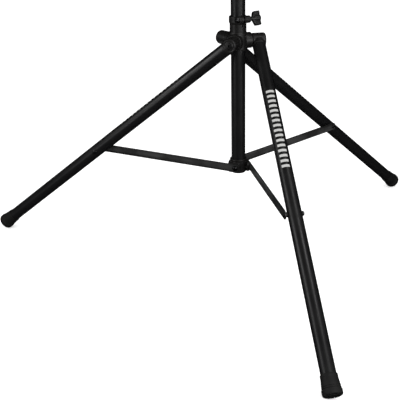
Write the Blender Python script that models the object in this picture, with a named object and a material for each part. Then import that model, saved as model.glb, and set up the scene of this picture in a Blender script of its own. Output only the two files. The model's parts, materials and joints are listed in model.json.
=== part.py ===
"""Folding speaker stand: a column tube, a sliding tripod collar, three legs with struts, and a pole.

Units are metres and +Z is up. The origin is the centre of the column's bottom face.
The three stations stand a third of a turn apart round the column. In a station's own frame
+X runs along its hinge axes and -Y points outwards, the way its leg and its strut go.
"""

import math

import bmesh
import bpy
from mathutils import Matrix

# Clearances
TOUCH_GAP = 0.0003       # between two pieces that touch or turn on each other
GLIDE_GAP = 0.0002       # round the pole's lower guide
HOLE_GAP = 0.0003        # round a bolt, screw or pin

# Edges broken on castings and mouldings
FINE_EDGE = 0.0010
EDGE = 0.0015

# Column
COLUMN_RADIUS = 0.01905
COLUMN_WALL = 0.00125
COLUMN_TOP = 1.055

# Base hub
HUB_WALL = 0.0031
HUB_HEIGHT = 0.040
HUB_EDGE = 0.00155
HUB_LIP_HEIGHT = 0.0025
HUB_LIP_REACH = 0.0045
CAP_PLATE = 0.0020
CAP_EDGE = 0.0010
CAP_SPIGOT = 0.012
CAP_WALL = 0.0022
HUB_PIVOT_Z = 0.0183
EAR_THICKNESS = 0.0045
EAR_HALF_HEIGHT = 0.0135
EAR_CORNER = 0.0081
EAR_BACK = 0.012
EAR_FRONT = 0.024

# Struts
STRUT_WIDTH = 0.0222
STRUT_THICKNESS = 0.0032
SPACER_LENGTH = 0.0050
SPACER_RADIUS = 0.0065
PIVOT_SHANK_RADIUS = 0.0040
PIVOT_HEAD_RADIUS = 0.0065
PIVOT_HEAD_HEIGHT = 0.0050
RIVET_HEAD_RADIUS = 0.0058
RIVET_HEAD_HEIGHT = 0.0034
RIVET_EDGE = 0.0017

# Legs
LEG_RADIUS = 0.01746
LEG_WALL = 0.0015
LEG_TUBE_START = 0.0060      # below the hinge axis, before the knuckle's saddle is cut
LEG_LENGTH = 0.9555          # hinge axis to the end of the rubber foot
LEG_ANGLE = math.radians(51.3)   # from the vertical
STRUT_ALONG_LEG = 0.52084    # hinge axis to the strut's bolt
KNUCKLE_RADIUS = 0.0185
KNUCKLE_INSET = 0.0008       # the knuckle starts this far inside the tube's inner side
KNUCKLE_LIP = 0.0015         # and ends this far past its outer side
KNUCKLE_SPIGOT = 0.045       # below the knuckle's barrel
SPIGOT_START = 0.00925       # below the hinge axis, inside the barrel
SPIGOT_WALL = 0.003
WASHER_THICKNESS = 0.0012
WASHER_RADIUS = 0.0150
HINGE_SHANK_RADIUS = 0.0050
HINGE_HEAD_RADIUS = 0.0080
HINGE_HEAD_HEIGHT = 0.0060
HINGE_HEAD_SINK = 0.0005     # below the knuckle's face
SOCKET_RADIUS = 0.0040
SOCKET_DEPTH = 0.0030
HEAD_EDGE_SHARE = 0.4        # of a bolt head's height

# Rubber feet
FOOT_LENGTH = 0.0465
FOOT_WALL = 0.0018
FOOT_FLARE = 0.0032
FOOT_SOLE = 0.0080
FOOT_EDGE = 0.0050
FOOT_LIP_BAND = 0.006

# Tripod collar, measured from the leg hinge axis
HINGE_Z = 0.36245            # height of the leg hinge axes with the stand open
ARM_RADIUS = 0.0200
ARM_BORE_START = 0.0045      # wall left between the column's bore and an arm's blind hole
COLLAR_WALL = 0.0026
COLLAR_BODY_WALL = 0.0042
COLLAR_BODY_DOWN = 0.0225
COLLAR_BODY_UP = 0.0215
COLLAR_TOP = 0.06455
BAND_WALL = 0.00465
BAND_HEIGHT = 0.016
COLLAR_BUSH_HEIGHT = 0.012
COLLAR_BUSH_WALL = 0.0020

# Clamp shared by the collar and the column's top
CLAMP_HEADING = math.radians(-71.3)
BOSS_RADIUS = 0.0095
BOSS_SHORT = 0.0140          # slot's middle to the nut side's end
BOSS_LONG = 0.0195           # slot's middle to the knob side's end
CLAMP_SLOT = 0.0040
CLAMP_SLOT_DEPTH = 0.0100    # below the clamp band
SCREW_RADIUS = 0.0040
SCREW_LAND = 0.0023          # wall between the bore and the screw's hole
NUT_HALF_FLATS = 0.0065
NUT_HEIGHT = 0.0065
COLLAR_SCREW_DROP = 0.0060   # the screw's axis below the collar's top
KNOB_STAND_OFF = 0.0025      # knob's neck to the boss
KNOB_LENGTH = 0.0285
KNOB_NECK_RADIUS = 0.0058
KNOB_HUB_RADIUS = 0.0090
KNOB_REACH = 0.0183
KNOB_HALF_WIDTH = 0.0070
KNOB_TILT = math.radians(-20)
KNOB_NECK_LENGTH = 0.0040
KNOB_HUB_START = 0.0120      # from the neck's end
KNOB_CROWN_RADIUS = 0.00675
KNOB_CROWN_EDGE = 0.0006     # from the knob's far end
KNOB_CROWN_DEPTH = 0.0034    # from the knob's far end
KNOB_WING_NECK = 0.00465     # half the wings' width where they leave the neck
KNOB_WING_START = 0.0046     # from the neck's end
KNOB_WING_WIDEST = 0.0134    # from the neck's end
KNOB_WING_TIP = 0.0023       # from the knob's far end
KNOB_WING_ROOT = 0.0014      # from the knob's far end
KNOB_WING_EDGE = 0.0018
KNOB_SOCKET_END = 0.0071     # from the knob's far end

# Top clamp
TOP_CLAMP_BELOW = 0.0370     # below the column's top, clear of the folded collar's clamp boss
TOP_CLAMP_ABOVE = 0.0195     # above the column's top
TOP_CLAMP_WALL = 0.0042
POLE_BUSH_SLIT = 0.0030

# Pole
POLE_RADIUS = 0.017465
POLE_WALL = 0.00165
POLE_BOTTOM = 0.0340
POLE_ABOVE_COLUMN = 0.129    # with the pole pushed right down
POLE_CAP_PLATE = 0.0050
POLE_CAP_SPIGOT = 0.020
POLE_GUIDE_PLATE = 0.010
POLE_HOLES = 8
POLE_HOLE_PITCH = 0.127
PIN_RADIUS = 0.0032
PIN_ABOVE_CLAMP = 0.0010
PIN_TIP = 0.0060             # past the pole's far side
PIN_GRIP_RADIUS = 0.0070
PIN_GRIP_LENGTH = 0.0160
PIN_GRIP_CLEAR = 0.0010      # off the side of the top clamp
PIN_IN_GRIP = 0.0096
PIN_POINT = 0.0016

# Facets round a full turn
TUBE_SIDES = 24
BOLT_SIDES = 12
KNOB_SIDES = 20
GRIP_SIDES = 16
QUARTER_STEPS = 4        # in a plate's corner
HALF_STEPS = 8           # round a strut's end
ROUND_STEPS = 3          # in a rubber foot's edge
SHARP_ANGLE = math.radians(35)

# Worked out from the sizes above
BORE_RADIUS = COLUMN_RADIUS + TOUCH_GAP
HUB_RADIUS = BORE_RADIUS + HUB_WALL
TUBE_SEAT_Z = CAP_PLATE + TOUCH_GAP + HUB_LIP_HEIGHT
COLLAR_RADIUS = BORE_RADIUS + COLLAR_WALL
COLLAR_BODY_RADIUS = BORE_RADIUS + COLLAR_BODY_WALL
BAND_RADIUS = BORE_RADIUS + BAND_WALL
TOP_CLAMP_RADIUS = BORE_RADIUS + TOP_CLAMP_WALL
SCREW_HOLE_RADIUS = SCREW_RADIUS + HOLE_GAP
SCREW_OFFSET = BORE_RADIUS + SCREW_LAND + SCREW_HOLE_RADIUS
NUT_CORNER = NUT_HALF_FLATS / math.cos(math.pi / 6)
PIVOT_HOLE_RADIUS = PIVOT_SHANK_RADIUS + HOLE_GAP
EAR_FACE = HUB_RADIUS + EAR_THICKNESS
STRUT_INNER = EAR_FACE + TOUCH_GAP
STRUT_OUTER = STRUT_INNER + STRUT_THICKNESS
SPACER_END = STRUT_OUTER + TOUCH_GAP + SPACER_LENGTH
LEG_INNER = SPACER_END + TOUCH_GAP
LEG_OFFSET = LEG_INNER + LEG_RADIUS
LEG_OUTER = LEG_OFFSET + LEG_RADIUS
KNUCKLE_START = LEG_INNER + KNUCKLE_INSET
KNUCKLE_END = LEG_OUTER + KNUCKLE_LIP
WASHER_END = KNUCKLE_START - TOUCH_GAP
ARM_END = WASHER_END - WASHER_THICKNESS - TOUCH_GAP
LEG_TUBE_END = LEG_LENGTH - FOOT_SOLE - TOUCH_GAP
STRUT_BOLT_R = STRUT_ALONG_LEG * math.sin(LEG_ANGLE)
STRUT_BOLT_Z = HINGE_Z - STRUT_ALONG_LEG * math.cos(LEG_ANGLE)
STRUT_LENGTH = math.hypot(STRUT_BOLT_R, STRUT_BOLT_Z - HUB_PIVOT_Z)
STRUT_SLOPE = math.atan2(STRUT_BOLT_Z - HUB_PIVOT_Z, STRUT_BOLT_R)
TOP_CLAMP_BOTTOM = COLUMN_TOP - TOP_CLAMP_BELOW
TOP_CLAMP_HEIGHT = TOP_CLAMP_BELOW + TOP_CLAMP_ABOVE
TOP_CLAMP_TOP = COLUMN_TOP + TOP_CLAMP_ABOVE
POLE_TOP = COLUMN_TOP + POLE_ABOVE_COLUMN
PIN_Z = TOP_CLAMP_TOP + PIN_ABOVE_CLAMP + PIN_RADIUS
PIN_GRIP_START = TOP_CLAMP_RADIUS + PIN_GRIP_CLEAR
PIN_END = PIN_GRIP_START + PIN_IN_GRIP

STATIONS = {"front": 0.0, "right": 2 * math.pi / 3, "left": 4 * math.pi / 3}
CUT_MARGIN = 0.002
ALONG_X = Matrix.Rotation(math.pi / 2, 4, "Y")
# Stands a plate up in a station's plane: its outline's x goes outwards, its thickness along +X.
OUTWARDS = Matrix(((0, 0, 1, 0), (-1, 0, 0, 0), (0, -1, 0, 0), (0, 0, 0, 1)))


# Materials

def material(name, colour, roughness, metallic):
    made = bpy.data.materials.new(name)
    made.use_nodes = True
    shader = made.node_tree.nodes["Principled BSDF"]
    shader.inputs["Base Color"].default_value = (*colour, 1.0)
    shader.inputs["Roughness"].default_value = roughness
    shader.inputs["Metallic"].default_value = metallic
    made.diffuse_color = (*colour, 1.0)
    return made


# Shapes: each function returns a mesh

def mesh_of(name, work):
    bmesh.ops.recalc_face_normals(work, faces=work.faces)
    mesh = bpy.data.meshes.new(name)
    work.to_mesh(mesh)
    work.free()
    return mesh


def turned(name, outline, sides=TUBE_SIDES, first_facet=0.0):
    """A solid turned about Z from a closed outline of (radius, height) points."""
    work = bmesh.new()
    rings = []
    for radius, height in outline:
        count = sides if radius > 0 else 1
        turns = [2 * math.pi * (k + first_facet) / sides for k in range(count)]
        ring = [work.verts.new((radius * math.cos(t), radius * math.sin(t), height)) for t in turns]
        rings.append(ring)
    for first, second in zip(rings, rings[1:] + rings[:1]):
        for k in range(sides if len(first) + len(second) > 2 else 0):
            after = (k + 1) % sides
            corners = [first[k % len(first)], first[after % len(first)]]
            corners += [second[after % len(second)], second[k % len(second)]]
            work.faces.new(list(dict.fromkeys(corners)))
    return mesh_of(name, work)


def tube(name, outer, inner, bottom, top, sides=TUBE_SIDES):
    outline = [(outer, bottom), (outer, top), (inner, top), (inner, bottom)]
    return turned(name, outline, sides)


def rod(name, radius, bottom, top, sides=BOLT_SIDES):
    """A plain cylinder, half a facet round from a turned solid, so that no edges coincide in a cut."""
    return turned(name, [(0, bottom), (radius, bottom), (radius, top), (0, top)], sides, 0.5)


def prism(name, outline, bottom, top, bevel=0.0):
    """A solid with a flat outline of (x, y) points, from bottom to top along Z."""
    work = bmesh.new()
    face = work.faces.new([work.verts.new((x, y, bottom)) for x, y in outline])
    raised = bmesh.ops.extrude_face_region(work, geom=[face])["geom"]
    upper = [item for item in raised if isinstance(item, bmesh.types.BMVert)]
    bmesh.ops.translate(work, verts=upper, vec=(0, 0, top - bottom))
    if bevel:
        rims = [e for e in work.edges if abs(e.verts[0].co.z - e.verts[1].co.z) < bevel]
        bmesh.ops.bevel(work, geom=rims, offset=bevel, segments=2, profile=0.5, affect="EDGES")
    return mesh_of(name, work)


def arc(centre, radius, start, end, steps):
    """Points of an arc about a 2-D centre, angles in degrees."""
    turns = [math.radians(start + (end - start) * k / steps) for k in range(steps + 1)]
    return [(centre[0] + radius * math.cos(t), centre[1] + radius * math.sin(t)) for t in turns]


def polygon(radius, sides, turn=0.0):
    return arc((0, 0), radius, turn, turn + 360 - 360 / sides, sides - 1)


def moved(mesh, matrix):
    mesh.transform(matrix)
    return mesh


def combined(base, tool, operation):
    """The first mesh with the second cut away or joined on. Both are used up."""
    body = bpy.data.objects.new("body", base)
    other = bpy.data.objects.new("other", tool)
    for item in (body, other):
        bpy.context.scene.collection.objects.link(item)
    step = body.modifiers.new("combine", "BOOLEAN")
    step.operation = operation
    step.solver = "EXACT"
    step.object = other
    bpy.context.view_layer.update()
    depsgraph = bpy.context.evaluated_depsgraph_get()
    result = bpy.data.meshes.new_from_object(body.evaluated_get(depsgraph))
    for item in (body, other):
        bpy.data.objects.remove(item)
    result.name = base.name
    return result


def joined(base, *tools):
    for tool in tools:
        base = combined(base, tool, "UNION")
    return base


def cut(base, *tools):
    for tool in tools:
        base = combined(base, tool, "DIFFERENCE")
    return base


# Placing

def axis_empty(name, location=(0, 0, 0), rotation=None, parent=None):
    empty = bpy.data.objects.new(name, None)
    empty.empty_display_size = 0.03
    bpy.context.scene.collection.objects.link(empty)
    empty.parent = parent
    empty.matrix_local = Matrix.Translation(location) @ (rotation or Matrix.Identity(4))
    return empty


def place(name, mesh, look, parent=None):
    """Puts a mesh in the scene as one named piece, smooth except at its sharp edges."""
    if not mesh.materials:
        mesh.materials.append(look)
        mesh.shade_smooth()
        mesh.set_sharp_from_angle(angle=SHARP_ANGLE)
    piece = bpy.data.objects.new(name, mesh)
    bpy.context.scene.collection.objects.link(piece)
    piece.parent = parent
    return piece


# Column and base hub

def outer_tube():
    inner = COLUMN_RADIUS - COLUMN_WALL
    return tube("outer_tube", COLUMN_RADIUS, inner, TUBE_SEAT_Z + TOUCH_GAP, COLUMN_TOP)


def hub_ear(rotation):
    """A flat plate with round corners on the hub's side, in the plane of a strut."""
    high = EAR_HALF_HEIGHT - EAR_CORNER
    corners = (
        (EAR_FRONT - EAR_CORNER, -high, 270),
        (EAR_FRONT - EAR_CORNER, high, 0),
        (EAR_CORNER - EAR_BACK, high, 90),
        (EAR_CORNER - EAR_BACK, -high, 180),
    )
    outline = []
    for x, y, start in corners:
        outline += arc((x, y), EAR_CORNER, start, start + 90, QUARTER_STEPS)
    plate = prism("ear", outline, COLUMN_RADIUS, EAR_FACE)
    return moved(plate, rotation @ Matrix.Translation((0, 0, HUB_PIVOT_Z)) @ OUTWARDS)


def base_hub():
    bottom = CAP_PLATE + TOUCH_GAP
    hub = turned("base_hub", [
        (0, bottom),
        (HUB_RADIUS - HUB_EDGE, bottom),
        (HUB_RADIUS, bottom + HUB_EDGE),
        (HUB_RADIUS, HUB_HEIGHT - HUB_EDGE),
        (HUB_RADIUS - HUB_EDGE, HUB_HEIGHT),
        (0, HUB_HEIGHT),
    ])
    turns = [Matrix.Rotation(turn, 4, "Z") for turn in STATIONS.values()]
    hub = joined(hub, *[hub_ear(turn) for turn in turns])
    seat = rod("seat", BORE_RADIUS, TUBE_SEAT_Z, HUB_HEIGHT + CUT_MARGIN, TUBE_SIDES)
    mouth = rod("mouth", COLUMN_RADIUS - HUB_LIP_REACH, -CUT_MARGIN, HUB_HEIGHT, TUBE_SIDES)
    hub = cut(hub, seat, mouth)
    for turn in turns:
        hole = rod("hole", PIVOT_HOLE_RADIUS, COLUMN_RADIUS - HUB_LIP_REACH, EAR_FACE + CUT_MARGIN)
        hub = cut(hub, moved(hole, turn @ Matrix.Translation((0, 0, HUB_PIVOT_Z)) @ ALONG_X))
    return hub


def hub_end_cap():
    spigot = COLUMN_RADIUS - HUB_LIP_REACH - TOUCH_GAP
    return turned("hub_end_cap", [
        (0, 0),
        (COLUMN_RADIUS - CAP_EDGE, 0),
        (COLUMN_RADIUS, CAP_EDGE),
        (COLUMN_RADIUS, CAP_PLATE),
        (spigot, CAP_PLATE),
        (spigot, CAP_PLATE + CAP_SPIGOT),
        (spigot - CAP_WALL, CAP_PLATE + CAP_SPIGOT),
        (spigot - CAP_WALL, CAP_PLATE),
        (0, CAP_PLATE),
    ])


def headed_bolt(name, shank_radius, shank_start, head_start, head_radius, head_height, socket=0.0):
    """A bolt along X with its head at the far end, rounded, with a socket if one is asked for."""
    edge = head_height * HEAD_EDGE_SHARE
    outline = [
        (0, shank_start),
        (shank_radius, shank_start),
        (shank_radius, head_start),
        (head_radius, head_start),
        (head_radius, head_start + head_height - edge),
        (head_radius - edge, head_start + head_height),
    ]
    if socket:
        outline += [
            (socket, head_start + head_height),
            (socket, head_start + head_height - SOCKET_DEPTH),
            (0, head_start + head_height - SOCKET_DEPTH),
        ]
    else:
        outline += [(0, head_start + head_height)]
    return moved(turned(name, outline, BOLT_SIDES), ALONG_X)


def hub_bolt():
    """The pin that a strut turns on: it runs through the ear and the hub's wall."""
    start = COLUMN_RADIUS + COLUMN_WALL
    head = STRUT_OUTER + TOUCH_GAP
    sizes = (PIVOT_SHANK_RADIUS, start, head, PIVOT_HEAD_RADIUS, PIVOT_HEAD_HEIGHT)
    return headed_bolt("hub_bolt", *sizes)


# Struts, in a frame at the hub's pivot with -Y along the strut

def strut_bar():
    half = STRUT_WIDTH / 2
    outline = arc((0, 0), half, 90, 270, HALF_STEPS)
    outline += arc((STRUT_LENGTH, 0), half, 270, 450, HALF_STEPS)
    bar = prism("strut", outline, STRUT_INNER, STRUT_OUTER)
    for x in (0, STRUT_LENGTH):
        hole = rod("hole", PIVOT_HOLE_RADIUS, STRUT_INNER - CUT_MARGIN, STRUT_OUTER + CUT_MARGIN)
        bar = cut(bar, moved(hole, Matrix.Translation((x, 0, 0))))
    return moved(bar, OUTWARDS)


def strut_bolt():
    """Bolt at the strut's outer end, head towards the column, ending short of the leg's tube."""
    head = STRUT_INNER - TOUCH_GAP
    top = head - RIVET_HEAD_HEIGHT
    bolt = turned("strut_bolt", [
        (0, top),
        (RIVET_HEAD_RADIUS - RIVET_EDGE, top),
        (RIVET_HEAD_RADIUS, top + RIVET_EDGE),
        (RIVET_HEAD_RADIUS, head),
        (PIVOT_SHANK_RADIUS, head),
        (PIVOT_SHANK_RADIUS, SPACER_END),
        (0, SPACER_END),
    ], BOLT_SIDES)
    return moved(bolt, Matrix.Translation((0, -STRUT_LENGTH, 0)) @ ALONG_X)


def strut_spacer():
    start = STRUT_OUTER + TOUCH_GAP
    ring = tube("strut_spacer", SPACER_RADIUS, PIVOT_HOLE_RADIUS, start, SPACER_END, BOLT_SIDES)
    return moved(ring, Matrix.Translation((0, -STRUT_LENGTH, 0)) @ ALONG_X)


# Legs, in a frame at the hinge with -Z down the leg

def leg_tube():
    inner = LEG_RADIUS - LEG_WALL
    body = tube("leg_tube", LEG_RADIUS, inner, -LEG_TUBE_END, -LEG_TUBE_START)
    body = moved(body, Matrix.Translation((LEG_OFFSET, 0, 0)))
    saddle = rod("saddle", KNUCKLE_RADIUS + TOUCH_GAP, ARM_END, KNUCKLE_END + CUT_MARGIN, TUBE_SIDES)
    hole = rod("hole", PIVOT_HOLE_RADIUS, LEG_INNER - CUT_MARGIN, LEG_OUTER + CUT_MARGIN)
    across = Matrix.Translation((0, 0, -STRUT_ALONG_LEG)) @ ALONG_X
    return cut(body, moved(saddle, ALONG_X), moved(hole, across))


def leg_knuckle():
    """Barrel that turns on the collar's arm, with a spigot inside the leg's tube."""
    barrel = turned("leg_knuckle", [
        (0, KNUCKLE_START),
        (KNUCKLE_RADIUS - EDGE, KNUCKLE_START),
        (KNUCKLE_RADIUS, KNUCKLE_START + EDGE),
        (KNUCKLE_RADIUS, KNUCKLE_END - EDGE),
        (KNUCKLE_RADIUS - EDGE, KNUCKLE_END),
        (0, KNUCKLE_END),
    ])
    outer = LEG_RADIUS - LEG_WALL - TOUCH_GAP
    inner = outer - SPIGOT_WALL
    end = -KNUCKLE_RADIUS - KNUCKLE_SPIGOT
    roof = -KNUCKLE_RADIUS - SPIGOT_WALL
    start = -SPIGOT_START
    cup = [(0, start), (outer, start), (outer, end), (inner, end), (inner, roof), (0, roof)]
    spigot = turned("spigot", cup, first_facet=0.5)
    spigot = moved(spigot, Matrix.Translation((LEG_OFFSET, 0, 0)))
    bore = rod("bore", HINGE_SHANK_RADIUS + HOLE_GAP, KNUCKLE_START - CUT_MARGIN, KNUCKLE_END + CUT_MARGIN)
    sink = KNUCKLE_END - HINGE_HEAD_SINK - HINGE_HEAD_HEIGHT - TOUCH_GAP
    seat = rod("seat", HINGE_HEAD_RADIUS + HOLE_GAP, sink, KNUCKLE_END + CUT_MARGIN)
    body = joined(moved(barrel, ALONG_X), spigot)
    return cut(body, moved(bore, ALONG_X), moved(seat, ALONG_X))


def foot():
    """Rubber boot over the leg's end: a tapered cup with a round bottom edge."""
    bore = LEG_RADIUS + TOUCH_GAP
    top = bore + FOOT_WALL
    wide = top + FOOT_FLARE
    outline = [(0, 0)]
    outline += arc((wide - FOOT_EDGE, FOOT_EDGE), FOOT_EDGE, -90, 0, ROUND_STEPS)
    outline += [
        (top, FOOT_LENGTH - FOOT_LIP_BAND),
        (top, FOOT_LENGTH),
        (bore, FOOT_LENGTH),
        (bore, FOOT_SOLE),
        (0, FOOT_SOLE),
    ]
    return moved(turned("foot", outline), Matrix.Translation((LEG_OFFSET, 0, -LEG_LENGTH)))


def leg_pivot_nut():
    """Cap nut on the leg's outer side, with the bolt's end running through the tube."""
    start = LEG_INNER + TOUCH_GAP
    head = LEG_OUTER + TOUCH_GAP
    sizes = (PIVOT_SHANK_RADIUS, start, head, PIVOT_HEAD_RADIUS, PIVOT_HEAD_HEIGHT)
    nut = headed_bolt("leg_pivot_nut", *sizes)
    return moved(nut, Matrix.Translation((0, 0, -STRUT_ALONG_LEG)))


# Leg hinge pieces that stay on the collar

def hinge_bolt():
    start = BORE_RADIUS + ARM_BORE_START + TOUCH_GAP
    head = KNUCKLE_END - HINGE_HEAD_SINK - HINGE_HEAD_HEIGHT
    sizes = (HINGE_SHANK_RADIUS, start, head, HINGE_HEAD_RADIUS, HINGE_HEAD_HEIGHT, SOCKET_RADIUS)
    return headed_bolt("hinge_bolt", *sizes)


def hinge_washer():
    bore = HINGE_SHANK_RADIUS + HOLE_GAP
    ring = tube("hinge_washer", WASHER_RADIUS, bore, WASHER_END - WASHER_THICKNESS, WASHER_END)
    return moved(ring, ALONG_X)


# Clamps. A clamp's frame has its origin on the column's axis at the screw's height,
# X along the screw towards the knob, and -Y through the slot.

def clamp_frame(height):
    return Matrix.Translation((0, 0, height)) @ Matrix.Rotation(CLAMP_HEADING + math.pi / 2, 4, "Z")


def screw_frame(height):
    """On the screw's axis, with Z along the screw and X across the knob's wings."""
    wings = Matrix.Rotation(math.pi + KNOB_TILT, 4, "X")
    return clamp_frame(height) @ Matrix.Translation((0, -SCREW_OFFSET, 0)) @ wings @ ALONG_X


def clamp_boss(height):
    boss = rod("boss", BOSS_RADIUS, -BOSS_SHORT, BOSS_LONG, TUBE_SIDES)
    return moved(boss, clamp_frame(height) @ Matrix.Translation((0, -SCREW_OFFSET, 0)) @ ALONG_X)


def clamp_cuts(height, slot_bottom, slot_top):
    """The slot through one side of the sleeve, the screw's hole through both lugs, and the nut's seat."""
    half = CLAMP_SLOT / 2
    reach = SCREW_OFFSET + BOSS_RADIUS + CUT_MARGIN
    inner = BORE_RADIUS / 2
    outline = [(-half, -reach), (half, -reach), (half, -inner), (-half, -inner)]
    slot = moved(prism("slot", outline, slot_bottom, slot_top), clamp_frame(0))
    hole = rod("hole", SCREW_HOLE_RADIUS, -BOSS_SHORT - CUT_MARGIN, BOSS_LONG + CUT_MARGIN)
    seat = rod("seat", NUT_CORNER + HOLE_GAP, -BOSS_SHORT - 2 * NUT_HEIGHT, TOUCH_GAP - BOSS_SHORT)
    across = clamp_frame(height) @ Matrix.Translation((0, -SCREW_OFFSET, 0)) @ ALONG_X
    return slot, moved(seat, across), moved(hole, across)


def collar_housing():
    """Sleeve on the column with three hinge arms and a split clamp at its top."""
    step = COLLAR_BODY_WALL - COLLAR_WALL
    band = BAND_WALL - COLLAR_WALL
    body = turned("collar_housing", [
        (0, -COLLAR_BODY_DOWN),
        (COLLAR_BODY_RADIUS - FINE_EDGE, -COLLAR_BODY_DOWN),
        (COLLAR_BODY_RADIUS, FINE_EDGE - COLLAR_BODY_DOWN),
        (COLLAR_BODY_RADIUS, COLLAR_BODY_UP - step),
        (COLLAR_RADIUS, COLLAR_BODY_UP),
        (COLLAR_RADIUS, COLLAR_TOP - BAND_HEIGHT - band),
        (BAND_RADIUS, COLLAR_TOP - BAND_HEIGHT),
        (BAND_RADIUS, COLLAR_TOP - FINE_EDGE),
        (BAND_RADIUS - FINE_EDGE, COLLAR_TOP),
        (0, COLLAR_TOP),
    ])
    turns = [Matrix.Rotation(turn, 4, "Z") for turn in STATIONS.values()]
    screw = COLLAR_TOP - COLLAR_SCREW_DROP
    for turn in turns:
        arm = rod("arm", ARM_RADIUS, BORE_RADIUS / 2, ARM_END, TUBE_SIDES)
        body = joined(body, moved(arm, turn @ ALONG_X))
    body = joined(body, clamp_boss(screw))
    below = -COLLAR_BODY_DOWN - CUT_MARGIN
    above = screw + BOSS_RADIUS + CUT_MARGIN
    bore = rod("bore", BORE_RADIUS, below, above, TUBE_SIDES)
    seat_radius = BORE_RADIUS + COLLAR_BUSH_WALL + TOUCH_GAP
    seat_top = COLLAR_BUSH_HEIGHT + TOUCH_GAP - COLLAR_BODY_DOWN
    seat = rod("seat", seat_radius, below, seat_top, TUBE_SIDES)
    slot_bottom = COLLAR_TOP - BAND_HEIGHT - CLAMP_SLOT_DEPTH
    body = cut(body, bore, seat, *clamp_cuts(screw, slot_bottom, above))
    radius = HINGE_SHANK_RADIUS + HOLE_GAP
    for turn in turns:
        hole = rod("hole", radius, BORE_RADIUS + ARM_BORE_START, ARM_END + CUT_MARGIN)
        body = cut(body, moved(hole, turn @ ALONG_X))
    return body


def collar_bush():
    outer = BORE_RADIUS + COLLAR_BUSH_WALL
    top = COLLAR_BUSH_HEIGHT - COLLAR_BODY_DOWN
    return tube("collar_bush", outer, BORE_RADIUS, -COLLAR_BODY_DOWN, top)


def top_clamp():
    """Sleeve over the column's top end, split above it to grip the pole."""
    body = turned("top_clamp", [
        (0, 0),
        (TOP_CLAMP_RADIUS - EDGE, 0),
        (TOP_CLAMP_RADIUS, EDGE),
        (TOP_CLAMP_RADIUS, TOP_CLAMP_HEIGHT - EDGE),
        (TOP_CLAMP_RADIUS - EDGE, TOP_CLAMP_HEIGHT),
        (0, TOP_CLAMP_HEIGHT),
    ])
    screw = TOP_CLAMP_HEIGHT - BOSS_RADIUS
    body = joined(body, clamp_boss(screw))
    bore = rod("bore", BORE_RADIUS, -CUT_MARGIN, TOP_CLAMP_HEIGHT + CUT_MARGIN, TUBE_SIDES)
    slot_bottom = TOP_CLAMP_BELOW - CLAMP_SLOT_DEPTH
    return cut(body, bore, *clamp_cuts(screw, slot_bottom, TOP_CLAMP_HEIGHT + CUT_MARGIN))


def pole_bush():
    """Split bush between the top clamp and the pole, on the column's end."""
    inner = POLE_RADIUS + TOUCH_GAP
    ring = tube("pole_bush", COLUMN_RADIUS, inner, COLUMN_TOP + TOUCH_GAP, TOP_CLAMP_TOP)
    half = POLE_BUSH_SLIT / 2
    deep = inner / 2
    outline = [(-half, -BORE_RADIUS), (half, -BORE_RADIUS), (half, -deep), (-half, -deep)]
    slit = prism("slit", outline, COLUMN_TOP, TOP_CLAMP_TOP + CUT_MARGIN)
    return cut(ring, moved(slit, clamp_frame(0)))


def clamp_nut():
    """Hexagon nut, in the screw's frame."""
    start = -BOSS_SHORT - TOUCH_GAP - NUT_HEIGHT
    end = start + NUT_HEIGHT
    hole = rod("hole", SCREW_HOLE_RADIUS, start - CUT_MARGIN, end + CUT_MARGIN)
    return cut(prism("clamp_nut", polygon(NUT_CORNER, 6), start, end), hole)


def knob_start():
    return BOSS_LONG + KNOB_STAND_OFF


def clamp_knob():
    """Two-winged knob, in the screw's frame, with a neck towards the clamp."""
    start = knob_start()
    end = start + KNOB_LENGTH
    hub = turned("clamp_knob", [
        (0, start),
        (KNOB_NECK_RADIUS, start),
        (KNOB_NECK_RADIUS, start + KNOB_NECK_LENGTH),
        (KNOB_HUB_RADIUS, start + KNOB_HUB_START),
        (KNOB_HUB_RADIUS, end - KNOB_CROWN_DEPTH),
        (KNOB_CROWN_RADIUS, end - KNOB_CROWN_EDGE),
        (0, end),
    ], KNOB_SIDES)
    side = [
        (KNOB_WING_NECK, KNOB_WING_START),
        (KNOB_REACH, KNOB_WING_WIDEST),
        (KNOB_REACH, KNOB_LENGTH - KNOB_WING_TIP),
        (KNOB_HUB_RADIUS, KNOB_LENGTH - KNOB_WING_ROOT),
    ]
    outline = side + [(-x, y) for x, y in reversed(side)]
    wings = prism("wings", outline, -KNOB_HALF_WIDTH, KNOB_HALF_WIDTH, KNOB_WING_EDGE)
    stand = Matrix(((1, 0, 0, 0), (0, 0, -1, 0), (0, 1, 0, start), (0, 0, 0, 1)))
    knob = joined(hub, moved(wings, stand))
    socket = rod("socket", SCREW_HOLE_RADIUS, start - CUT_MARGIN, end - KNOB_SOCKET_END)
    return cut(knob, socket)


def clamp_screw():
    """Screw that is moulded into the knob and runs through both lugs and the nut."""
    end = knob_start() + KNOB_LENGTH - KNOB_SOCKET_END - TOUCH_GAP
    start = -BOSS_SHORT - NUT_HEIGHT - CUT_MARGIN
    return rod("clamp_screw", SCREW_RADIUS, start, end)


# Pole

def pole_hole_heights():
    return [PIN_Z - k * POLE_HOLE_PITCH for k in range(POLE_HOLES)]


def pin_frame():
    return clamp_frame(PIN_Z) @ ALONG_X


def pole_tube():
    top = POLE_TOP - POLE_CAP_PLATE - TOUCH_GAP
    body = tube("pole_tube", POLE_RADIUS, POLE_RADIUS - POLE_WALL, POLE_BOTTOM, top)
    for height in pole_hole_heights():
        reach = POLE_RADIUS + CUT_MARGIN
        hole = rod("hole", PIN_RADIUS + HOLE_GAP, -reach, reach)
        body = cut(body, moved(hole, clamp_frame(height) @ ALONG_X))
    return body


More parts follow.
